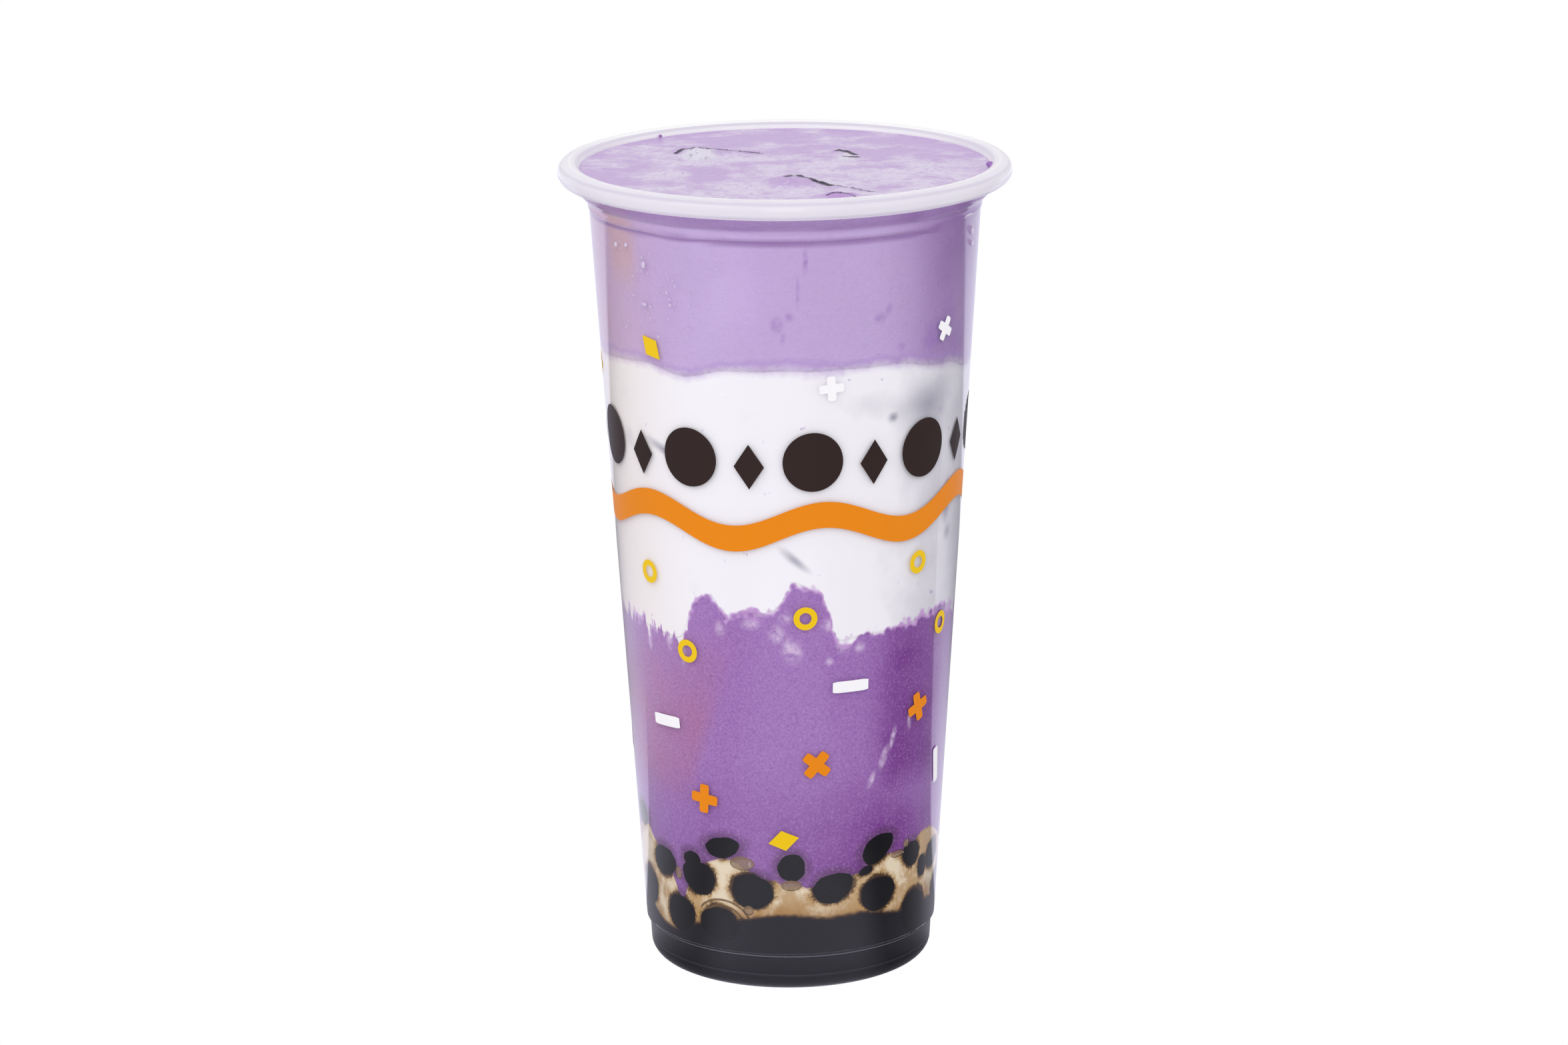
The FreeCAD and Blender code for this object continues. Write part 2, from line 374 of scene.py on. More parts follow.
def drink_colour(tree):
    """One field of colour down the side of the drink, the same for every layer."""
    up, low, crm, syr = (attr(tree, n) for n in ("up", "low", "crm", "syr"))
    pearl = attr(tree, "pearl")
    grain = cloud(tree, 0.5, 2.0, 0.7)
    fine = cloud(tree, 2.2, 4.0, 0.6)
    broad = cloud(tree, 22.0, 3.0, 0.5)
    drift = cloud(tree, 9.0, 4.0, 0.55, shift=3.0)
    # upper taro
    upper = mix(tree, attr(tree, "warm").clip(), plain(LILAC), plain(LILAC_WARM))
    # painted reflection: a tan band high on the left side
    upper = mix(tree, attr(tree, "tan") * 0.7, upper, plain((206, 166, 166)))
    # painted shade on the right side and under the rim and ring, with darker tone at random
    upper = mix(tree, (attr(tree, "painted_shade") + (broad - 0.5) * 0.7).clip(), upper, plain(LILAC_DEEP))
    upper = mix(tree, ((broad - 0.45) * 1.2).clip(), upper, plain((208, 184, 228)))
    blot = (attr(tree, "blot") * (fine * 3.4 - 0.9)).clip()
    upper = mix(tree, blot * 0.8, upper, plain((150, 108, 186)))
    haze = (1.0 - abs(up - 1.6 + (drift - 0.5) * 5.0)).clip()
    upper = mix(tree, haze * 0.35, upper, plain((168, 132, 204)))
    # milk
    milk = mix(tree, attr(tree, "warm").clip(), plain(MILK), plain(MILK_WARM))
    milk = mix(tree, (attr(tree, "shade") + (drift - 0.62) * 0.5).clip(), milk, plain(MILK_SHADE))
    milk = mix(tree, cloud(tree, 2.0, 2.0, 0.4, shift=9.0).step(0.73, 0.79) * 0.4, milk, plain(TARO))
    # lower taro
    pink = attr(tree, "pink") * (1.0 + (drift - 0.5) * 1.2)
    deep = attr(tree, "deep") * (1.0 + (drift - 0.5) * 1.0) + (broad - 0.55) * 0.3
    lower = mix(tree, pink.clip(), plain(TARO), plain(TARO_PINK))
    lower = mix(tree, deep.clip(), lower, plain(TARO_DEEP))
    halo = 1.0 - (pearl + (fine - 0.5) * 1.4).step(-0.1, 2.2)
    lower = mix(tree, halo * 0.7, lower, plain((84, 52, 84)))
    smear = (attr(tree, "smear") * (fine * 4.0 - 1.2)).clip()
    lower = mix(tree, smear * 0.85, lower, plain((222, 200, 230)))
    lower = mix(tree, ((grain - 0.5) * 1.6).clip() * 0.8, lower, plain(TARO_PALE))
    lower = mix(tree, ((0.5 - grain) * 2.2).clip() * 0.7, lower, plain(TARO_GRAIN))
    # cream
    cream = mix(tree, (drift + (fine - 0.5) * 0.4).step(0.40, 0.58), plain(CREAM), plain(CREAM_PALE))
    rust = cloud(tree, 6.0, 5.0, 0.62, (1, 1, 0.5), 6.0)
    cream = mix(tree, rust.step(0.52, 0.70) * 0.6, cream, plain(CREAM_WARM))
    soaked = 1.0 - (syr + (rust - 0.5) * 12.0).step(-0.5, 4.6)
    cream = mix(tree, soaked * 0.95, cream, plain(CREAM_WARM))
    rough = (grain - 0.5) * 1.6 + (fine - 0.5) * 2.2
    cream = mix(tree, (1.0 - (pearl + rough).step(0.2, 1.7)) * 0.7, cream, plain((188, 148, 90)))
    cream = mix(tree, (1.0 - (pearl + rough).step(0.1, 0.8)) * 0.85, cream, plain(AMBER))
    cream = mix(tree, 1.0 - (pearl + rough * 0.7).step(-0.2, 0.6), cream, plain(BROWN))
    swirl = attr(tree, "swirl")
    line = swirl.op("SINE", swirl * 4.6) * 0.5 + 0.5
    line = line.step(0.4, 0.9) * (1.0 - swirl.step(1.7, 2.4))
    cream = mix(tree, line * 0.9, cream, plain((104, 76, 42)))
    # the changes from one to the next
    out = mix(tree, (up + (fine - 0.5) * 1.6 + (drift - 0.5) * 3.0).step(-1.8, 1.6), milk, upper)
    puff = (cells(tree, 4.6) - 0.42) * 3.6 + (cells(tree, 1.7, 4.0) - 0.42) * 2.2 + (fine - 0.5) * 1.2
    comb = (cloud(tree, 1.5, 3.0, 0.6, (1, 1, 0.16), 5.0) - 0.5) * 15.0
    edge = low + puff + attr(tree, "finger") * (comb - puff * 0.6)
    fringe = mix(tree, edge.step(-0.5, 0.5), lower, plain((196, 154, 212)))
    out = mix(tree, (edge - drift.step(0.3, 0.8) * 1.6).step(-0.3, 1.0), fringe, out)
    out = mix(tree, (crm + (fine - 0.5) * 2.2 + (grain - 0.5) * 0.6).step(-0.3, 0.35), cream, out)
    edge = syr + (fine - 0.5) * 1.6
    out = mix(tree, edge.step(0.1, 1.2), plain(BROWN), out)
    return mix(tree, edge.step(-0.3, 0.3), plain(SYRUP), out)


def drink_material(name):
    m, t = material(name)
    finish_material(t, principled(t, drink_colour(t), 0.6, Specular_IOR_Level=0.03))
    return m


# ------------------------------------------------------------------------ the ice's hills
# the way that each cube's steep side faces, in degrees
STEEP = {"ice_1": -100.0, "ice_2": 66.0, "ice_3": 90.0, "ice_4": 200.0}
# edges of the cubes under the skin: points with their height over the drink, how wide a strip in front of the
# edge is dark as bare ice with painted shade, then the slopes in front and behind
RIDGES = [
    ([(-22.6, 12.8, 0.7), (-20.8, 13.5, 1.3), (-18.4, 13.7, 1.66), (-14.0, 14.1, 1.2)], 0.85, 0.40, 2.2),
    ([(-14.0, 14.1, 1.2), (-8.6, 15.6, 0.4), (-4.8, 14.6, 0.1)], 0.45, 0.30, 1.6),
    ([(0.9, -18.7, 1.2), (2.0, -18.2, 1.69), (5.2, -19.3, 1.3), (9.2, -21.9, 0.5)], 1.15, 0.30, 2.2),
    ([(9.2, -21.9, 0.5), (12.5, -24.4, 0.3), (18.0, -28.2, 0.1)], 0.45, 0.25, 1.6),
    ([(8.4, -35.7, 0.8), (9.6, -35.0, 1.2), (11.4, -34.8, 1.5), (13.2, -35.3, 1.1),
      (14.4, -36.0, 0.6)], 0.34, 0.50, 0.9),
    ([(11.4, 14.4, 0.8), (13.2, 13.2, 0.8), (14.6, 12.0, 0.4)], 1.0, 0.25, 0.8),
    ([(12.8, 10.0, 0.3), (15.2, 9.2, 0.3)], 0.7, 0.25, 0.8),
]


def ridges(x, y):
    """Height over the level at the ice's edges, and how dark the bare ice and its painted shade are there."""
    high, dark = np.full(x.shape, -9.0), np.zeros(x.shape)
    for path, bare, front, back in RIDGES:
        for (ax, ay, ah), (bx, by, bh) in zip(path, path[1:]):
            ux, uy = bx - ax, by - ay
            t = np.clip(((x - ax) * ux + (y - ay) * uy) / (ux * ux + uy * uy), 0, 1)
            dx, dy = x - ax - t * ux, y - ay - t * uy
            d = np.hypot(dx, dy)
            high = np.maximum(high, ah + t * (bh - ah) - np.where(dy > 0, back, front) * d)
            # the dark strip: bare ice, deepened by painted shade
            mark = np.where(dy > 0, 1 - smooth(0.1, 0.4, d), 1 - smooth(bare * 0.75, bare * 1.2, d))
            dark = np.maximum(dark, mark)
    return high, dark


def ice_tips():
    """Points of the ice that stand at or over the drink, with each cube's steep side."""
    out = []
    for name, steep in STEEP.items():
        ob = NODES[name]
        for v in ob.data.vertices:
            p = ob.matrix_world @ v.co
            if p.z > (LEVEL - 0.6) * MM:
                out.append((p.x / MM, p.y / MM, p.z / MM, math.radians(steep)))
    tips = np.array(out)
    return tips[:: max(1, len(tips) // 500)]


def hills(x, y):
    """Height over the level where the drink lies on the ice."""
    tips = ice_tips()
    best = np.full(x.shape, -9.0)
    for px, py, pz, steep in tips:
        dx, dy = x - px, y - py
        d = np.hypot(dx, dy)
        side = (dx * math.cos(steep) + dy * math.sin(steep)) / np.maximum(d, 1e-6)
        slope = 0.22 + 0.75 * smooth(0.1, 0.9, side)
        best = np.maximum(best, pz + 0.14 - LEVEL - slope * d)
    edge, dark = ridges(x, y)
    return np.maximum(np.maximum(best, edge), 0.0), dark


# ------------------------------------------------------------------------------ the pieces
TURNS = 540
DEG = np.arange(TURNS) * 360.0 / TURNS


# spots seen on the wall: angle, height, half width, half height, turn and strength
BLOTS = [
    (-2.8, 146.6, 1.6, 2.2), (0.9, 148.4, 1.2, 1.0), (-1, 144, 0.8, 0.8), (29.2, 147, 1.8, 1.2),
    (32, 148.5, 0.9, 1.6), (37, 140.3, 1.2, 1.2), (50, 141, 4.0, 4.4), (58, 145, 3.4, 4.5),
    (64, 138, 4.4, 4.4), (54, 134.6, 3.4, 1.4), (5.6, 160, 0.5, 4.0), (3.4, 153.4, 0.5, 4.0),
    (130, 144, 4, 3), (185, 150, 3, 5), (240, 142, 4, 2),
]
SHADES = [
    (-40, 117.5, 8.0, 1.3, -22, 0.95), (-60, 119, 2.5, 3, 0, 0.25), (8, 121.0, 0.8, 2.4, 0, 0.9),
    (35, 125.5, 1.6, 1.3, 0, 0.8), (48, 127, 9, 6, 0, 0.5), (24, 129, 8, 4, 0, 0.2),
    (2, 96.5, 5.2, 1.2, -40, 0.85), (64, 104, 2.2, 5.5, 0, 0.6), (66, 97, 2, 2, 0, 0.4),
    (150, 115, 8, 2, 20, 0.5), (215, 108, 2, 7, 10, 0.5), (250, 122, 6, 1.2, -15, 0.6),
]
SMEARS = [
    (40, 55, 0.7, 2.6, -15), (36, 51, 1.0, 2.8, -20), (31, 46.5, 0.8, 2.0, -20), (48, 57.5, 0.5, 2.4, 5),
    (-12.8, 82.4, 2.2, 1.3, 0), (-9, 85, 1.6, 1.0, 0), (-4, 80.5, 1.8, 2.0, 0), (1, 76.8, 2.2, 3.0, 20),
    (-1, 84, 1.6, 1.2, 0), (14, 74, 1.0, 0.7, 0), (14, 82, 2.0, 1.5, 0), (19, 78.5, 1.8, 3.2, 0),
    (25, 76.5, 1.2, 1.4, 0), (-24, 81, 1.2, 1.6, 0), (-45, 77, 0.9, 3.0, 0), (-56, 76, 0.8, 3.4, 0),
    (-39, 74, 0.7, 2.6, 0), (200, 60, 3, 4, 10), (150, 78, 3, 3, 0), (238, 76, 3, 2, 0),
]


def spots(deg, z, r, rows, inner, outer):
    """The strongest of some soft spots: angle, height, half sizes, turn and strength."""
    best = np.zeros(deg.shape)
    for at, high, a, b, *rest in rows:
        turn = rest[0] if rest else 0.0
        strength = rest[1] if len(rest) > 1 else 1.0
        fade = 1 - smooth(inner, outer, ellipse(deg, z, r, at, high, a, b, turn))
        best = np.maximum(best, strength * fade)
    return best


def side_attrs(deg, z):
    """Everything the colours need to know on the drink's side."""
    blot = spots(deg, z, UPPER_R, BLOTS, 0.4, 1.1)
    shade = spots(deg, z, MILK_R, SHADES, 0.0, 1.25)
    smear = spots(deg, z, LOWER_R, SMEARS, 0.1, 1.3)
    su, sv = np.radians(near(deg, -27.5)) * 30.5, z - 14.2
    swirl = np.hypot(su / 5.0, sv / 4.6) * 4.8 - 4.4
    swirl = np.where((sv > -1.5) & (su > -5.5) & (swirl > -0.3), swirl, 9.0)
    left = smooth(25, 75, -near(deg, 0)) * (1 - hidden_side(deg) * 0.6)
    # right: where painted shade darkens the right side of the upper taro and of the milk
    right = smooth(25, 60, near(deg, 0)) * (1 - hidden_side(deg))
    slant = near(deg, -20) + (73 - z) * 0.62                  # the pink patch ends on a slant
    pink = (1 - smooth(-7, 4, slant)) * (1 - smooth(60, 86, z)) * smooth(36, 50, z) * 0.85
    deep = bumps(deg, [(52, 1.0, 19)], 4) * smooth(34, 50, z) * (1 - 0.25 * smooth(66, 80, z))
    low_dark = (1 - smooth(27, 56, z)) * (0.35 + 0.65 * bumps(deg, [(42, 1.0, 34)]))
    finger = smooth(36, 42, -near(deg, 0)) * (1 - hidden_side(deg)) + hidden_side(deg) * 0.5
    # painted shade: the right side darker, more so near the top, and a faint shade below the ring
    painted_shade = right * (0.74 + 0.20 * smooth(140, 165, z)) + 0.08 - 0.08 * smooth(164.4, 165.0, z)
    painted_shade = painted_shade + 0.72 * smooth(165.9, 166.7, z)                  # painted shade under the rim
    painted_shade = painted_shade + 0.9 * (smooth(163.0, 163.5, z) - smooth(164.1, 164.5, z))    # painted shadow line under the ring
    return {
        "up": z - milk_line(deg), "low": z - taro_line(deg), "crm": z - cream_line(deg),
        "syr": z - syrup_line(deg), "pearl": np.clip(pearl_edge(deg, z), -2, 4),
        "warm": left, "tan": bumps(deg, [(-57, 1.0, 7)], 4) * smooth(148, 158, z), "painted_shade": painted_shade,
        "finger": finger, "blot": blot * 0.55, "shade": shade + right * 0.42, "pink": pink,
        "deep": np.maximum(deep, low_dark), "smear": smear, "swirl": swirl,
    }


def layer(name, node, low, high, step, mat):
    """One layer of the drink: its side, and the uneven faces under and over it."""
    z0 = low(DEG) if callable(low) else np.full(TURNS, low)
    z1 = high(DEG)
    rows = max(3, int(np.max(z1 - z0) / (step * 1.0)))
    t = np.linspace(0, 1, rows)[:, None]
    z = z0 + (z1 - z0) * t
    deg = np.broadcast_to(DEG, z.shape)
    side = place(deg, rin(z) + INTO_WALL, z)
    verts, faces = side.reshape(-1, 3), grid_faces(rows, TURNS)
    n = len(verts)
    ends = np.array([[0, 0, z0.mean()], [0, 0, z1.mean()]]) * MM
    verts = np.concatenate([verts, ends])
    for j in range(TURNS):
        k = (j + 1) % TURNS
        faces.append((n, k, j))
        faces.append((n + 1, n - TURNS + j, n - TURNS + k))
    attrs = side_attrs(deg, z)
    for key, v in attrs.items():
        attrs[key] = np.concatenate([v.ravel(), [v[0].mean(), v[-1].mean()]])
    return piece(name, verts, faces, mat, [node], attrs)


layer("syrup_core", "pearl_bed", SYRUP_JOIN, syrup_line, 0.8, drink_material("syrup"))
layer("cream_swirled", "cream_layer", syrup_line, cream_line, 0.4, drink_material("cream"))
layer("taro_thick", "taro_lower", cream_line, taro_line, 0.7, drink_material("taro_thick"))
layer("milk", "milk_layer", taro_line, milk_line, 0.7, drink_material("milk"))


def revolve(name, profile, turns, mat, replaces, sharp=None):
    """A profile of radius and height turned about the axis, closed at the poles."""
    pts = np.array(profile)
    pole = [i for i, p in enumerate(pts) if p[0] < 1e-6]
    a = np.arange(turns) * 2 * np.pi / turns
    verts, index = [], []
    for i, (r, z) in enumerate(pts):
        index.append(len(verts))
        if i in pole:
            verts.append((0, 0, z * MM))
        else:
            verts += [(r * MM * math.cos(t), r * MM * math.sin(t), z * MM) for t in a]
    faces = []
    closed = pole and pole[0] == 0 and pole[-1] == len(pts) - 1
    for i in range(len(pts) - 1):
        p, q = index[i], index[i + 1]
        for j in range(turns):
            k = (j + 1) % turns
            if i in pole:
                faces.append((p, q + k, q + j))
            elif i + 1 in pole:
                faces.append((p + j, p + k, q))
            else:
                faces.append((p + j, p + k, q + k, q + j))
    if closed:
        faces = [f[::-1] for f in faces]
    ob = piece(name, verts, faces, mat, replaces)
    if sharp:
        ob.data.set_sharp_from_angle(angle=math.radians(sharp))
    return ob


def taro_top():
    """Upper taro: its side, then the open surface with froth, ice hills and a bend at the wall."""
    z0 = milk_line(DEG)
    rows = 44
    t = np.linspace(0, 1, rows)[:, None] ** 0.85
    z = z0 + (LEVEL - z0) * t
    deg = np.broadcast_to(DEG, z.shape)
    r = rin(z) + INTO_WALL
    rim = float(rin(LEVEL)) + INTO_WALL
    rings = 140
    s = 1 - np.linspace(0, 1, rings + 1)[1:, None] ** 1.15
    s[-1] = 0.004
    rr = np.broadcast_to(s * rim, (rings, TURNS))
    dd = np.broadcast_to(DEG, rr.shape)
    x, y = rr * np.sin(np.radians(dd)), -rr * np.cos(np.radians(dd))
    froth = np.empty(x.shape)
    relief = np.empty(x.shape)
    for i in range(x.shape[0]):
        for j in range(x.shape[1]):
            p = Vector((x[i, j] / 9.0, y[i, j] / 6.0, 1.7))
            froth[i, j] = noise.fractal(p, 0.9, 2.1, 3)
            relief[i, j] = noise.fractal(Vector((x[i, j] / 2.6, y[i, j] / 1.9, 4.0)), 0.8, 2.2, 3)
    calm = smooth(4, 20, y + 0.25 * x) + smooth(26, 38, -x)      # the smoother back and left
    patch = 1 - smooth(0.6, 1.2, np.hypot((x + 16) / 5.0, (y + 9) / 9.0))
    froth = np.clip(0.66 + 0.7 * froth - 0.5 * np.clip(calm, 0, 1) - 0.8 * patch, 0, 1)
    up, dark = hills(x, y)
    edge = rim - rr
    lift = 0.30 * np.exp(-edge / 0.8)
    away = smooth(0.0, 2.5, edge)
    zz = LEVEL + (relief * 0.34 * froth + 0.06 * relief) * away + up * away + lift
    zz = np.minimum(zz, CUP_H - 0.05)
    top = np.stack([x, y, zz], -1) * MM
    verts = np.concatenate([place(deg, r, z).reshape(-1, 3), top.reshape(-1, 3)])
    faces = grid_faces(rows + rings, TURNS)
    n = len(verts)
    verts = np.concatenate([verts, [[0, 0, float(zz[-1].mean()) * MM], [0, 0, z0.mean() * MM]]])
    for j in range(TURNS):
        k = (j + 1) % TURNS
        faces.append((n, n - TURNS + j, n - TURNS + k))
        faces.append((n + 1, k, j))
    attrs = side_attrs(deg, z)
    for key, v in attrs.items():
        extra = np.broadcast_to(v[-1], x.shape)
        attrs[key] = np.concatenate([v.ravel(), extra.ravel(), [0, 0]])
    flat = np.zeros(z.size)      # on the side, where nothing of the surface shows
    one = np.ones(x.size)
    attrs["open"] = np.concatenate([flat, one, [1, 0]])
    attrs["froth"] = np.concatenate([flat, froth.ravel(), [0.5, 0]])
    attrs["bare_ice_and_shade"] = np.concatenate([flat, dark.ravel(), [0, 0]])
    # painted highlight: pale faces, streaked with grey, in front of the ice
    near_1 = (1 - smooth(0.5, 1.1, np.hypot((x + 18.2) / 4.6, (y - 10.4) / 3.6))) * (y < 13.9)
    near_4 = 1 - smooth(0.3, 1.1, np.hypot((x - 13.2) / 3.4, (y - 9.5) / 4.2))
    near_2 = (1 - smooth(0.4, 1.1, np.hypot((x - 7.5) / 3.0, (y + 18.0) / 2.4))) * 0.5
    pale = np.maximum(near_1, np.maximum(near_4 * 0.8, near_2))
    # painted shade: a darker purple mound over one cube
    mound_shade = 1 - smooth(0.7, 1.1, np.hypot((x - 11.2) / 3.6, (y + 35.6) / 2.6))
    attrs["pale"] = np.concatenate([flat, pale.ravel(), [0, 0]])
    attrs["mound_shade"] = np.concatenate([flat, mound_shade.ravel(), [0, 0]])
    attrs["hill_shade"] = np.concatenate([flat, smooth(0.05, 0.9, up).ravel(), [0, 0]])
    m, tree = material("taro_light")
    side = drink_colour(tree)
    fine = cloud(tree, 1.4, 4.0, 0.65, (0.6, 1, 1))
    fr = attr(tree, "froth")
    wide = cloud(tree, 6.0, 4.0, 0.6, (0.7, 1, 1), 7.0)
    foam = fr * 1.3 - 0.1 + (wide - 0.5) * 0.45 + (fine - 0.5) * 3.2 * (fr + 0.15)
    c = mix(tree, foam.clip(), plain((200, 171, 221)), plain((226, 214, 238)))
    holes = (1.0 - cells(tree, 1.7, 2.0).step(0.14, 0.30)) * (fr * (fine - 0.42).clip() * 5.0).clip()
    c = mix(tree, holes * 0.8, c, plain((176, 142, 206)))
    # painted shade on the drink's skin over the ice hills
    c = mix(tree, (attr(tree, "hill_shade") * 0.75).clip(), c, plain((196, 164, 218)))
    streak = cloud(tree, 0.9, 3.0, 0.6, (1, 0.25, 1), 4.0)
    # painted highlight on the ice's front faces, streaked with grey
    c = mix(tree, (attr(tree, "pale") * (streak + 0.5)).clip(), c, plain((232, 228, 242)))
    c = mix(tree, attr(tree, "pale") * streak.step(0.52, 0.70) * 0.6, c, plain((150, 138, 172)))
    # painted shade on the mound
    c = mix(tree, attr(tree, "mound_shade") * 0.85, c, plain((192, 150, 216)))
    # bare ice at the cubes' edges, darkened further as painted shade
    c = mix(tree, attr(tree, "bare_ice_and_shade") * 0.95, c, plain((46, 42, 60)))
    colour = mix(tree, attr(tree, "open"), side, c)
    height = cloud(tree, 1.3, 3.0, 0.6, (1, 1.6, 1), 2.0) + fine * 1.2
    bump = add(tree, "ShaderNodeBump", {}, {"Strength": 0.7, "Distance": 0.0006, "Height": height})
    rough = 0.5 - attr(tree, "open") * 0.20
    finish_material(tree, principled(tree, colour, rough, Specular_IOR_Level=0.35, Normal=bump))
    return piece("taro_smooth", verts, faces, m, ["taro_upper"], attrs)


taro_top()

# ice: the cubes themselves stay as built, wet with the drink
m, tree = material("ice_wet")
c = mix(tree, cloud(tree, 3.0), plain((196, 172, 218)), plain((222, 212, 232)))
finish_material(tree, principled(tree, c, 0.15, Specular_IOR_Level=0.5))
for name in STEEP:
    NODES[name].data.materials.clear()
    NODES[name].data.materials.append(m)

# syrup under the layers, down to the floor
m, tree = material("syrup_floor")
c = mix(tree, cloud(tree, 12.0), plain(SYRUP), plain((22, 19, 25)))
tall = place_xyz(tree)[2] * 1000.0
# painted highlight line along the ledge, and painted shade lines lower on the foot
for at, wide, tone, deep in [(8.0, 0.18, (112, 108, 124), 0.8), (7.55, 0.22, (2, 2, 4), 0.9),
                             (3.9, 0.16, (2, 2, 4), 0.9), (2.7, 0.14, (2, 2, 4), 0.7),
                             (3.5, 0.2, (60, 58, 70), 0.4)]:
    wavy = tall + (cloud(tree, 30.0) - 0.5) * 0.5
    c = mix(tree, stripe(wavy, at, wide * 0.5, wide * 1.4) * deep, c, plain(tone))
finish_material(tree, principled(tree, c, 0.6, Specular_IOR_Level=0.03))
low = [(p[0] + (INTO_WALL if p[0] > 1 else 0), p[1] - INTO_WALL) for p in inner_profile()[:11]]
low += [(float(rin(SYRUP_JOIN)) + INTO_WALL, SYRUP_JOIN), (0.0, SYRUP_JOIN)]
revolve("syrup_foot", low, TURNS, m, ["pearl_bed"])


# ------------------------------------------------------------------------------ the pearls
def pearl_meshes():
    """Every pearl as an uneven ball, flattened where it presses on the wall."""
    rows, cols = 17, 28
    deep, grow = 3.6, 1.16      # half depth; the ball over what shows of it at the wall
    behind = deep * math.sqrt(1 - 1 / grow ** 2)
    verts, faces = [], []
    lat = np.linspace(-math.pi / 2, math.pi / 2, rows)[:, None]
    lon = (np.arange(cols) * 2 * math.pi / cols)[None, :]
    for i, (at, h, a, b, turn) in enumerate(PEARLS):
        wob = 1 + 0.05 * np.sin(2 * lon + i) + 0.035 * np.sin(3 * lon + 2.1 * i)
        wob = wob + 0.02 * np.sin(7 * lon + i)
        u = a * grow * np.cos(lat) * np.cos(lon) * wob
        v = b * grow * np.cos(lat) * np.sin(lon) * wob
        w = deep * np.sin(lat) * np.ones_like(lon)
        t = math.radians(turn)
        u, v = u * math.cos(t) - v * math.sin(t), u * math.sin(t) + v * math.cos(t)
        z = h + v
        r = np.minimum(float(rin(h)) - behind + w + INTO_WALL, rin(z) + INTO_WALL + 0.05)
        deg = at + np.degrees(u / 30.5)
        start = len(verts)
        verts.extend(place(deg, r, z).reshape(-1, 3))
        faces += [f[::-1] for f in grid_faces(rows, cols, start)]
    return np.array(verts), faces


m, tree = material("tapioca")
tone = cloud(tree, 3.0, 4.0, 0.6)
c = mix(tree, tone, plain((3, 3, 5)), plain((14, 12, 15)))
finish_material(tree, principled(tree, c, 0.5, Specular_IOR_Level=0.0))
v, f = pearl_meshes()
piece("tapioca_pearls", v, f, m, ["pearl_bed"])

# --------------------------------------------------------------------------------- the cup
m, tree = material("clear_plastic")
shadow, diffuse = rays(tree, "Shadow", "Diffuse")
across, along, high = place_xyz(tree)
milky = high.step(0.1688, 0.1700) * 0.87      # the rolled rim is nearly white
clear = principled(tree, (1, 1, 1, 1), 0.02, IOR=1.49, Transmission_Weight=1.0)
out_r = across.op("SQRT", across * across + along * along) * 1000.0
tint = mix(tree, cloud(tree, 14.0), plain((228, 222, 236)), plain((238, 234, 243)))
# painted light: the far side of the rim is painted nearly white
tint = mix(tree, along.step(0.010, 0.034), tint, plain((253, 252, 254)))
# painted highlight and painted shade lines round the rim
for at, wide, tone in [(43.5, 0.35, (206, 196, 220)), (45.0, 0.3, (246, 243, 250)),
                       (46.9, 0.25, (214, 206, 226))]:
    tint = mix(tree, stripe(out_r, at, wide * 0.4, wide * 1.6) * 0.7, tint, plain(tone))
cloudy = principled(tree, tint, 0.18, Specular_IOR_Level=0.6)
body = add(tree, "ShaderNodeMixShader", {}, {0: milky, 1: clear, 2: cloudy})
see = add(tree, "ShaderNodeBsdfTransparent", {}, {0: (1, 1, 1, 1)})
shader = add(tree, "ShaderNodeMixShader", {}, {0: shadow.max(diffuse), 1: body, 2: see})
finish_material(tree, shader)
revolve("cup_clear", cup_profile(), 240, m, ["cup"], sharp=50)


# ------------------------------------------------------------------------------- the print
def ink(name, colour):
    mat, t = material(name)
    tint = mix(t, cloud(t, 6.0) * 0.25, plain(colour), plain([x * 0.94 for x in colour]))
    finish_material(t, principled(t, tint, 0.45, Specular_IOR_Level=0.15))
    return mat


class Print:
    """One colour of ink: flat shapes laid just over the outside of the wall."""

    def __init__(self):
        self.verts, self.faces = [], []

    def lay(self, deg, u, v, z, turn, faces):
        t = math.radians(turn)
        u, v = u * math.cos(t) - v * math.sin(t), u * math.sin(t) + v * math.cos(t)
        h = z + v
        r = wall_r(h) + PRINT_OFF
        start = len(self.verts)
        self.verts.extend(place(deg + np.degrees(u / r), r, h).reshape(-1, 3))
        self.faces += [tuple(start + k for k in f) for f in faces]

    def blob(self, deg, z, radius, turn=0.0, hole=0.0):
        """A shape given by its radius at each angle, filled from the middle or from a hole."""
        n, rings = 48, 4
        a = np.arange(n) * 2 * np.pi / n
        edge = radius(a) if callable(radius) else np.full(n, float(radius))
        u, v = [], []
        for i in range(rings + 1):
            k = hole + (1 - hole) * i / rings
            k = max(k, 0.01)
            u.append(edge * k * np.cos(a))
            v.append(edge * k * np.sin(a))
        self.lay(deg, np.array(u), np.array(v), z, turn, grid_faces(rings + 1, n))

    def band(self, centre, half, turns=300):
        """A band right round the cup: its middle height at each angle, and its half width."""
        deg = np.arange(turns) * 360.0 / turns
        rows = np.array([centre(deg) + half * k for k in (-1, -0.5, 0, 0.5, 1)])
        deg = np.broadcast_to(deg, rows.shape)
        start = len(self.verts)
        self.verts.extend(place(deg, wall_r(rows) + PRINT_OFF, rows).reshape(-1, 3))
        self.faces += grid_faces(5, turns, start)


def rhomb(a, b):
    """A diamond by its two half sizes."""
    return lambda t: 1 / (np.abs(np.cos(t)) / a + np.abs(np.sin(t)) / b)


def bar(a, b):
    """A short bar by its two half sizes."""
    def edge(t):
        c, s = np.maximum(np.abs(np.cos(t)), 1e-6), np.maximum(np.abs(np.sin(t)), 1e-6)
        return np.minimum(a / c, b / s)
    return edge


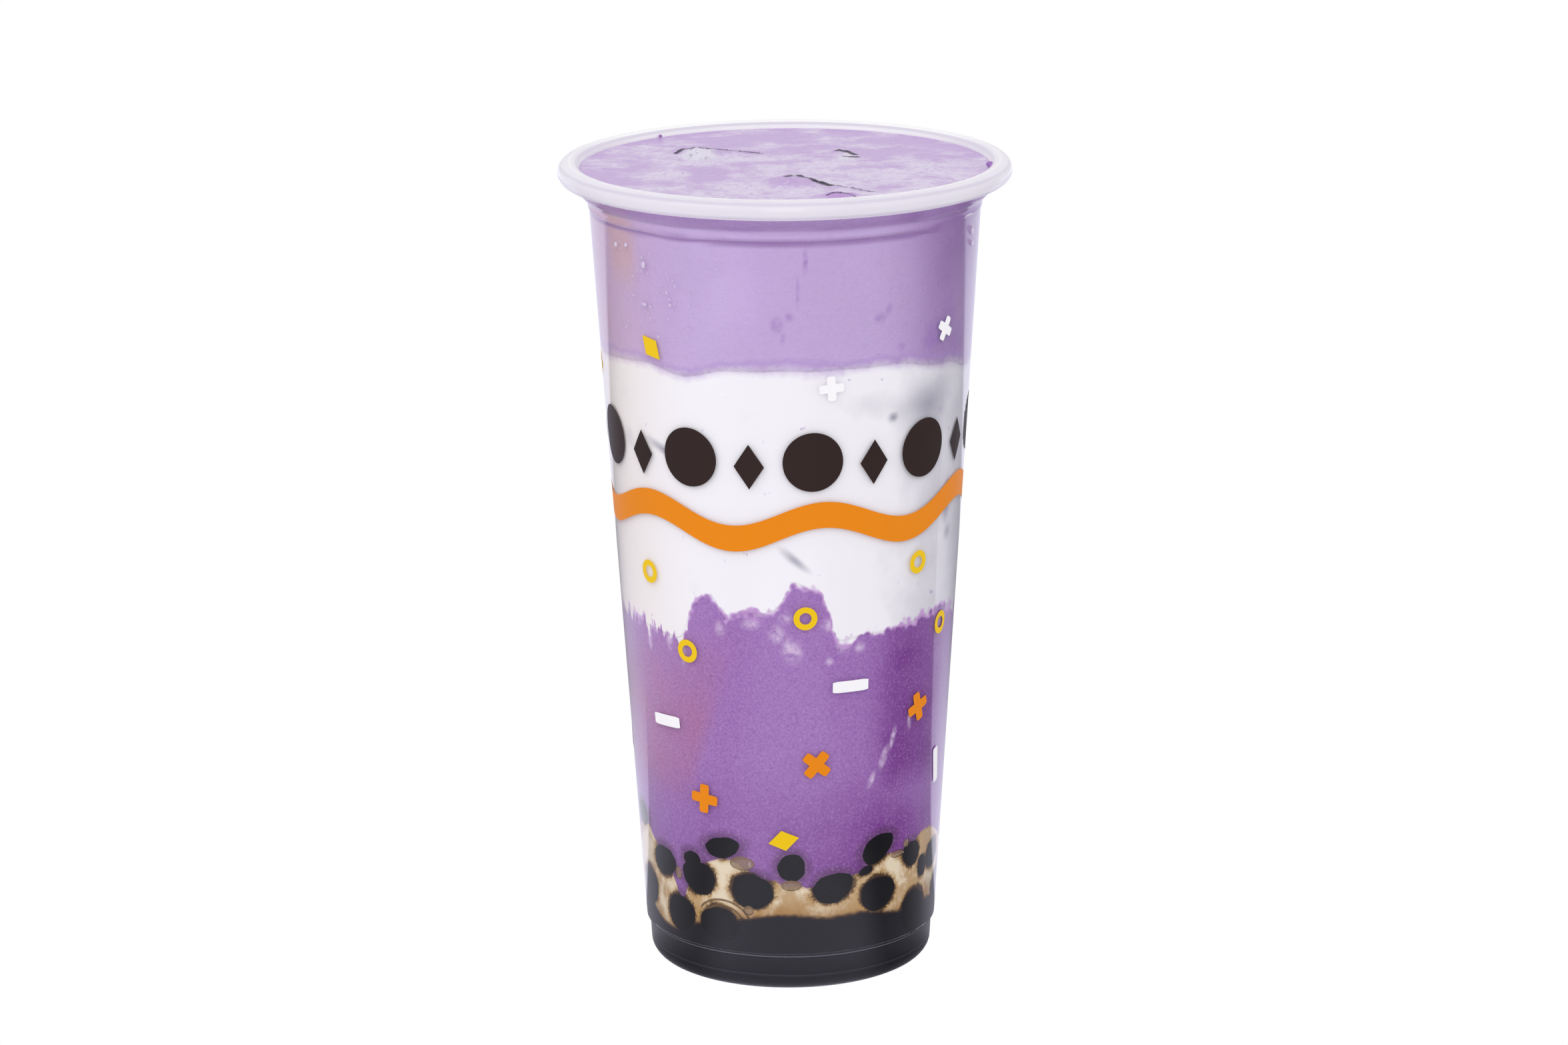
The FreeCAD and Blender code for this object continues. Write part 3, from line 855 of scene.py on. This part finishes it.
def plus(a, b):
    """A cross with arms of half length a and half width b."""
    def edge(t):
        c, s = np.maximum(np.abs(np.cos(t)), 1e-6), np.maximum(np.abs(np.sin(t)), 1e-6)
        return np.maximum(np.minimum(a / c, b / s), np.minimum(b / c, a / s))
    return edge


orange, yellow, white, brown = Print(), Print(), Print(), Print()
orange.band(lambda d: 103.5 + 2.6 * np.sin(np.radians(d * 6 + 20)), 2.8)
for i in range(9):
    brown.blob(8 + 40 * i, 117.5, 6.3)
    brown.blob(28 + 40 * i, 116.5, rhomb(3.2, 4.8))
SPREAD_Z, SPREAD_TURN = 0.7548777, 0.5698403      # an even spread of points without rows
kind = 0
for i in range(46):
    z = 34 + 114 * ((i * SPREAD_Z + 0.30) % 1.0)
    if 93 < z < 128:            # the discs and the wave are there
        continue
    deg, turn = 360 * ((i * SPREAD_TURN + 0.06) % 1.0), (i * 71.0) % 180
    kind = (kind + 1) % 6
    if kind in (0, 3):
        yellow.blob(deg, z, 2.5, 0, 0.5)
    elif kind == 1:
        white.blob(deg, z, bar(4.0, 1.25), turn)
    elif kind == 2:
        yellow.blob(deg, z, rhomb(2.3, 3.3), turn)
    elif kind == 4:
        orange.blob(deg, z, plus(3.2, 1.1), turn)
    else:
        white.blob(deg, z, plus(2.6, 0.9), turn)
for name, art, colour in [("print_orange", orange, (238, 138, 12)),
                          ("print_yellow", yellow, (243, 201, 20)),
                          ("print_white", white, (252, 250, 254)),
                          ("print_brown", brown, (54, 40, 38))]:
    piece(name, art.verts, art.faces, ink(name, colour))


# ------------------------------------------------------------ drops on the plastic, bubbles
def beads(name, rows, mat, replaces=()):
    """Drops in one mesh: angle, radius to the middle, height, half sizes across, up, deep."""
    verts, faces = [], []
    n, m = 9, 16
    lat = np.linspace(-math.pi / 2, math.pi / 2, n)[:, None]
    lon = (np.arange(m) * 2 * math.pi / m)[None, :]
    for deg, r, z, a, b, deep in rows:
        u, v = a * np.cos(lat) * np.cos(lon), b * np.cos(lat) * np.sin(lon)
        w = deep * np.sin(lat) * np.ones_like(lon)
        start = len(verts)
        verts.extend(place(deg + np.degrees(u / r), r + w, z + v).reshape(-1, 3))
        faces += [f[::-1] for f in grid_faces(n, m, start)]
    return piece(name, np.array(verts), faces, mat, replaces)


# on the wall: angle, height, half sizes across and up
drops = [
    (-58.6, 159.9, 0.45, 0.6), (-53.2, 160.4, 0.4, 0.5), (-45.7, 157.0, 0.6, 0.75), (-46.2, 148.6, 0.55, 0.4),
    (-37.1, 152.0, 0.3, 0.35), (-36.1, 149.4, 0.35, 0.4), (-41.2, 142.3, 0.25, 0.3), (71.3, 160.4, 0.7, 0.85),
    (72.0, 157.6, 0.5, 0.6), (-34.0, 153.5, 0.2, 0.3), (-51.0, 150.0, 0.2, 0.25), (-20.0, 158.0, 0.2, 0.2),
]
for i in range(60):
    drops.append((RNG.uniform(95, 265), RNG.uniform(135, 162), RNG.uniform(0.15, 0.35),
                  RNG.uniform(0.2, 0.45)))
for i in range(26):
    drops.append((RNG.uniform(-62, -28), RNG.uniform(140, 161), RNG.uniform(0.12, 0.22),
                  RNG.uniform(0.14, 0.28)))
m, tree = material("water_drop")
c = mix(tree, cloud(tree, 1.0), plain((206, 186, 220)), plain((226, 214, 234)))
finish_material(tree, principled(tree, c, 0.04, Specular_IOR_Level=0.9))
beads("wall_drops", [(d, wall_r(z), z, a, b, 0.22 + a * 0.3) for d, z, a, b in drops]
      + [(71.5, 44.8, CUP_H - 0.3, 0.7, 0.28, 0.55)], m)
m, tree = material("taro_drop")
c = mix(tree, cloud(tree, 2.0), plain((150, 100, 176)), plain((170, 122, 196)))
finish_material(tree, principled(tree, c, 0.15, Specular_IOR_Level=0.6))
beads("splash_drops", [(84.4, 42.8, CUP_H - 0.8, 0.95, 0.6, 0.8),
                       (81.0, 43.3, CUP_H - 0.7, 0.35, 0.3, 0.3),
                       (-141.0, 42.4, CUP_H - 1.1, 0.4, 0.3, 0.4)], m)
m, tree = material("clear_bubble")
turned = add(tree, "ShaderNodeLayerWeight", {}, {0: 0.5}, out=1)
painted_glint = cloud(tree, 0.8, 3.0).step(0.62, 0.72)
# painted light: a dark outline where the bubble turns away, and pale glints
c = mix(tree, turned.step(0.12, 0.45), plain((160, 126, 88)), plain((40, 26, 20)))
c = mix(tree, painted_glint * 0.7, c, plain((236, 226, 212)))
alpha = turned.step(0.1, 0.6) * 0.4 + 0.55
finish_material(tree, principled(tree, c, 0.05, Specular_IOR_Level=1.0, Alpha=alpha))
rows = [(0.3, 24.4, 2.3, 1.3), (-16.5, 18.4, 1.2, 1.2), (-18.6, 29.0, 2.9, 1.7), (45.1, 28.3, 2.2, 0.9),
        (50.0, 30.0, 1.1, 1.0), (-48.5, 24.0, 1.2, 1.6), (150, 24, 2.2, 1.2), (200, 27, 1.6, 1.6),
        (240, 22, 2.4, 1.1)]
rows = [(d, float(rin(z)) - 0.05, z, a, b, 0.45) for d, z, a, b in rows]
beads("bubbles", rows, m, ["cream_layer"])

# ------------------------------------------------------------------------- floor and light
floor_mesh = bpy.data.meshes.new("floor")
floor_mesh.from_pydata([(-3, -3, 0), (3, -3, 0), (3, 3, 0), (-3, 3, 0)], [], [(0, 1, 2, 3)])
floor = bpy.data.objects.new("floor", floor_mesh)
bpy.context.scene.collection.objects.link(floor)
m, tree = material("pale_floor")
camera_ray, through, gloss = rays(tree, "Camera", "Transmission", "Glossy")
lit = principled(tree, (0.9, 0.9, 0.9, 1), 0.8)
glow = add(tree, "ShaderNodeEmission", {}, {0: (1, 1, 1, 1), 1: 1.0})
# what the clear wall mirrors: a darker studio, paler behind, at the left and in front
x, y, _ = place_xyz(tree)
across = abs(x)
far = x.op("SQRT", x * x + y * y)
behind = (1.0 - far.step(0.05, 0.26)) * 0.62 + far.step(0.33, 0.37) * 0.55
behind = (y * 1.23 - across).step(-0.003, 0.006) * behind
left = (-x).step(0.03, 0.10) * (1.0 - far.step(0.12, 0.34)) * 0.45
strip = (1.0 - across.step(0.016, 0.045)) * (-y).step(0.02, 0.03) * (1.0 - (-y).step(0.06, 0.10)) * 0.45
level = behind.max(left) + strip + 0.27 - x.step(0.005, 0.05) * (-y).step(-0.02, 0.02) * 0.14
pale = add(tree, "ShaderNodeVectorMath", {"operation": "SCALE"}, {0: (0.97, 0.95, 1.13), 3: level})
mirrored = add(tree, "ShaderNodeEmission", {}, {0: pale, 1: 1.0})
lit = add(tree, "ShaderNodeMixShader", {}, {0: gloss, 1: lit, 2: mirrored})
shader = add(tree, "ShaderNodeMixShader", {}, {0: camera_ray.max(through), 1: lit, 2: glow})
finish_material(tree, shader)
floor_mesh.materials.append(m)

world = bpy.data.worlds.new("studio")
bpy.context.scene.world = world
world.use_nodes = True
tree = world.node_tree
tree.nodes.clear()
camera_ray, through, gloss = rays(tree, "Camera", "Transmission", "Glossy")
level = 0.93 - gloss * 0.45
strength = level + camera_ray.max(through) * (1.0 - level)      # white where it is seen
back = add(tree, "ShaderNodeBackground", {}, {0: (1, 1, 1, 1), 1: strength})
add(tree, "ShaderNodeOutputWorld", {}, {0: back})


def lamp(name, where, size, radiance, aim=(0, 0, 0.09)):
    """A soft rectangular lamp that the camera doesn't see, aimed at the cup's middle."""
    data = bpy.data.lights.new(name, "AREA")
    data.shape = "RECTANGLE"
    data.size, data.size_y = size
    data.energy = radiance * math.pi * size[0] * size[1]
    ob = bpy.data.objects.new(name, data)
    ob.location = where
    ob.rotation_euler = (Vector(aim) - Vector(where)).to_track_quat("-Z", "Y").to_euler()
    bpy.context.scene.collection.objects.link(ob)
    ob.visible_camera = False


lamp("backdrop", (0, 0.95, 0.55), (2.0, 1.5), 0.35, (0, 0, 0.55))
lamp("front", (0, -1.5, 0.55), (0.5, 1.4), 0.9)
lamp("key", (-0.9, -0.9, 1.3), (0.9, 0.9), 0.7)

CAMERA_AT, CAMERA_DOWN, CAMERA_ROLL = (-0.00077, -1.0, 0.3616), 0.2607, -0.0082
camera_data = bpy.data.cameras.new("camera")
camera_data.sensor_fit = "HORIZONTAL"
camera_data.sensor_width = 36.0
camera_data.lens = 111.7
camera_data.clip_start = 0.05
camera = bpy.data.objects.new("camera", camera_data)
bpy.context.scene.collection.objects.link(camera)
camera.matrix_world = (Matrix.Translation(CAMERA_AT)
                       @ Matrix.Rotation(math.pi / 2 - CAMERA_DOWN, 4, "X")
                       @ Matrix.Rotation(CAMERA_ROLL, 4, "Z"))
bpy.context.scene.camera = camera
bpy.context.scene.view_settings.view_transform = "Standard"
